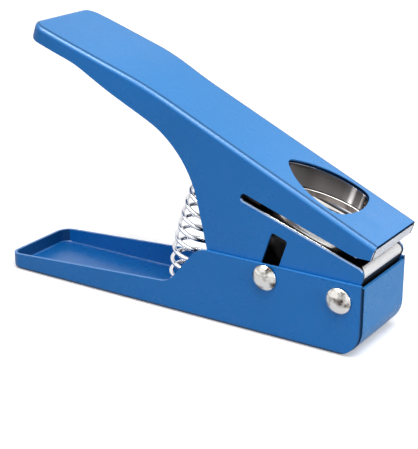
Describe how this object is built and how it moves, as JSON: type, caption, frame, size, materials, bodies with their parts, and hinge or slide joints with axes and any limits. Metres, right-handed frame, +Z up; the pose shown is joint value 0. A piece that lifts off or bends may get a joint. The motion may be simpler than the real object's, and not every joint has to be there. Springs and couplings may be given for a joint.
{
  "type": "guitar pick punch",
  "caption": "Hand-squeezed card punch: sprung upper handle with pick-shaped die, hinged in a sheet-steel base tray that holds the punch pin.",
  "frame": {"origin": "middle of the base tray's flat underside", "axes": "+X along the tray towards the jaw where the card goes in, +Y across it, +Z up"},
  "size_m": [0.1575, 0.04, 0.0997],
  "materials": {
    "blue_enamel": "satin gloss blue enamel on pressed sheet steel",
    "nickel_plate": "bright nickel plate",
    "rivet_nickel": "bright nickel plate, slightly dull",
    "machined_steel": "machined steel",
    "spring_steel": "bright plated spring wire",
    "black_oxide": "black oxide"
  },
  "bodies": {
    "base": {"base_tray": "blue_enamel", "pivot_rivet": "rivet_nickel", "punch_pin_rivet": "rivet_nickel", "pivot_sleeve": "machined_steel", "punch_pin_sleeve": "machined_steel", "spring_stud_lower": "machined_steel", "return_spring": "spring_steel"},
    "handle": {"handle_frame": "blue_enamel", "die_holder": "nickel_plate", "die_plate": "nickel_plate", "guide_block": "nickel_plate", "gap_spacer_left": "machined_steel", "gap_spacer_right": "machined_steel", "die_dowel_left": "machined_steel", "die_dowel_right": "machined_steel", "spring_stud_upper": "machined_steel"},
    "punch": {"punch_head": "machined_steel", "punch_carrier": "black_oxide", "punch_screw_front": "black_oxide", "punch_screw_rear": "black_oxide"}
  },
  "joints": [
    {"name": "handle_hinge", "type": "hinge", "parent": "base", "child": "handle", "pos_m": [0.0686, 0, 0.0201], "axis": [0, -1, 0], "range_deg": [0, 17], "stiffness_Nm_per_rad": 5.9, "springref_deg": -4.58, "deforming": ["return_spring"]},
    {"name": "punch_slide", "type": "slide", "parent": "handle", "child": "punch", "axis": [0.3173, 0, 0.9483], "range_m": [0, 0.0085]}
  ],
  "couplings": [
    {"joint": "punch_slide", "follows": "handle_hinge", "m_per_rad": 0.0283}
  ]
}
